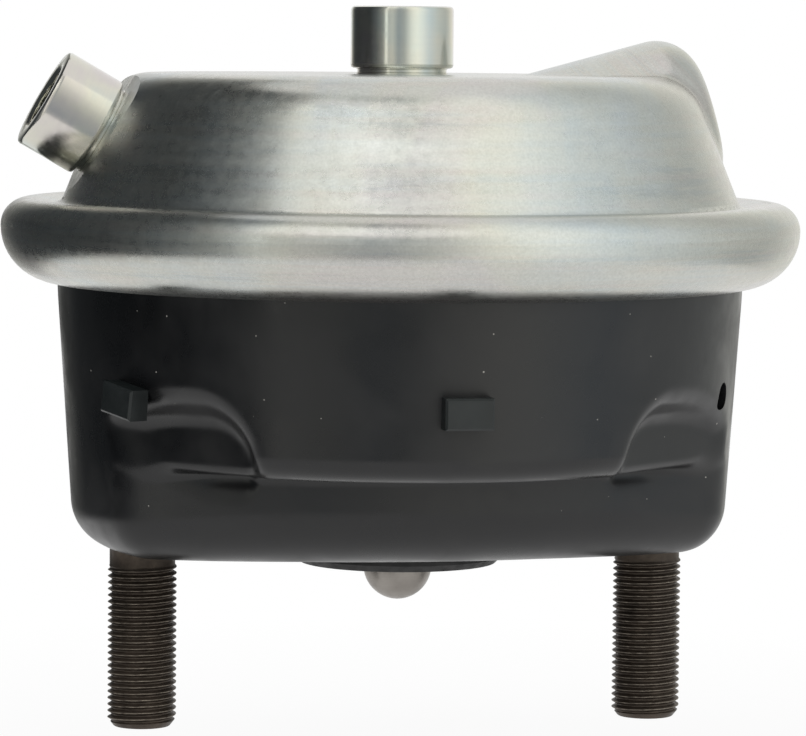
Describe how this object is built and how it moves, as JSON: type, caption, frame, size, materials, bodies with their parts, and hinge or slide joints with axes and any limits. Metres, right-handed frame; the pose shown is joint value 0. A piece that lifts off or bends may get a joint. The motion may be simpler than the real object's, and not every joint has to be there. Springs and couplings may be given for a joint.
{
  "type": "air brake chamber",
  "caption": "Service brake chamber for an air disc brake: crimped pressed-steel cover and housing, diaphragm, spring-returned push rod, threaded ports and mounting studs.",
  "frame": {"origin": "on the mounting face, midway between the two studs, on the push rod's axis", "axes": "+Z from the mounting face up to the pressure cover, along the push rod's axis; the studs stand along X, the side port toward -X; -Y is the front"},
  "size_m": [0.1862, 0.1862, 0.1676],
  "materials": {
    "zinc_sheet": "zinc plated, satin, fine grain with faint iridescence",
    "zinc_turned": "turned and bright zinc plated",
    "black_paint": "satin black",
    "phosphate_steel": "dark phosphate, thread crests lighter",
    "turned_steel": "turned, dull",
    "plain_steel": "plain pressed steel",
    "spring_steel": "dark coated wire",
    "rubber": "matt black",
    "diaphragm_rubber": "matt black, fabric reinforced",
    "black_plastic": "moulded, slightly glossy"
  },
  "bodies": {
    "housing": {"pressure_cover": "zinc_sheet", "top_port_boss": "zinc_turned", "side_port_boss": "zinc_turned", "lower_housing": "black_paint", "stud_left": "phosphate_steel", "stud_right": "phosphate_steel", "stud_plate": "plain_steel", "diaphragm": "diaphragm_rubber", "return_spring": "spring_steel", "dust_boot": "rubber", "boot_retainer": "plain_steel", "face_seal": "rubber", "drain_plug_1": "black_plastic", "drain_plug_2": "black_plastic", "drain_plug_3": "black_plastic", "drain_plug_4": "black_plastic", "drain_plug_5": "black_plastic"},
    "push_rod_body": {"push_rod": "turned_steel", "pressure_plate": "plain_steel", "rod_collar": "plain_steel", "boot_clip": "spring_steel"}
  },
  "joints": [
    {"name": "push_rod_stroke", "type": "slide", "parent": "housing", "child": "push_rod_body", "axis": [0, 0, -1], "range_m": [0, 0.057], "stiffness_N_per_m": 1600, "springref_m": -0.056, "deforming": ["diaphragm", "return_spring", "dust_boot"]}
  ]
}
